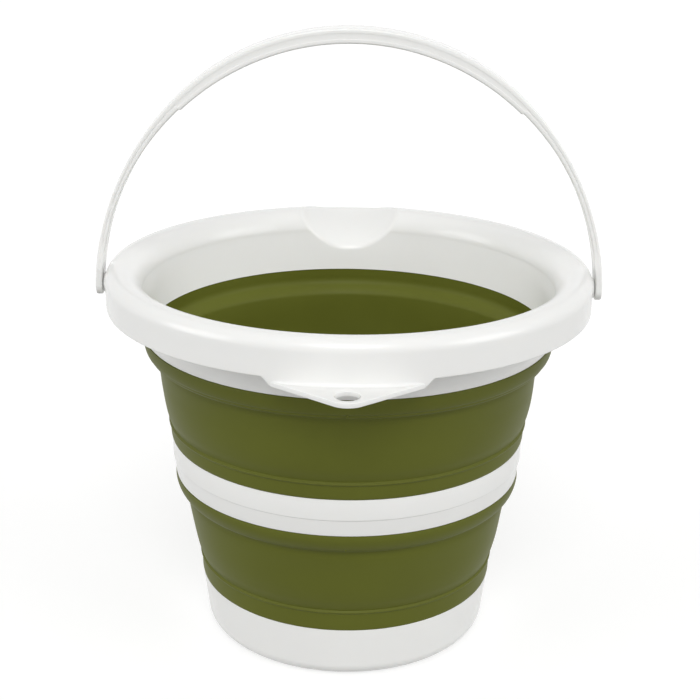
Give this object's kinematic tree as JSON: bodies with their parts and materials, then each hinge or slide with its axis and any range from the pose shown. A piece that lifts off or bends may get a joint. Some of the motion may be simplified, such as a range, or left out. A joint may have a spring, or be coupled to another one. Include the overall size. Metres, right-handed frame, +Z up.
{
  "type": "collapsible camp bucket",
  "caption": "Collapsible camping bucket: rigid white rings joined by soft green folds, with an arched carrying handle, a pouring scoop and a hanging lug.",
  "frame": {"origin": "centre of the foot, on the ground", "axes": "+Z up, the turning axis of the rings and the way they collapse; +X along the handle's pivot line; -Y to the hanging lug, +Y to the pouring scoop"},
  "size_m": [0.3306, 0.3444, 0.4037],
  "materials": {
    "white_plastic": "moulded polypropylene, satin gloss",
    "green_rubber": "moulded thermoplastic elastomer, satin"
  },
  "bodies": {
    "base": {"base_cup": "white_plastic", "lower_fold": "green_rubber"},
    "middle": {"middle_ring": "white_plastic", "upper_fold": "green_rubber"},
    "rim": {"rim_collar": "white_plastic"},
    "handle": {"handle": "white_plastic"}
  },
  "joints": [
    {"name": "lower_collapse", "type": "slide", "parent": "base", "child": "middle", "axis": [0, 0, 1], "range_m": [-0.0956, 0], "deforming": ["lower_fold"]},
    {"name": "upper_collapse", "type": "slide", "parent": "middle", "child": "rim", "axis": [0, 0, 1], "range_m": [-0.0926, 0], "deforming": ["upper_fold"]},
    {"name": "handle_swing", "type": "hinge", "parent": "rim", "child": "handle", "pos_m": [0, 0, 0.237], "axis": [1, 0, 0], "range_deg": [-79, 79]}
  ]
}
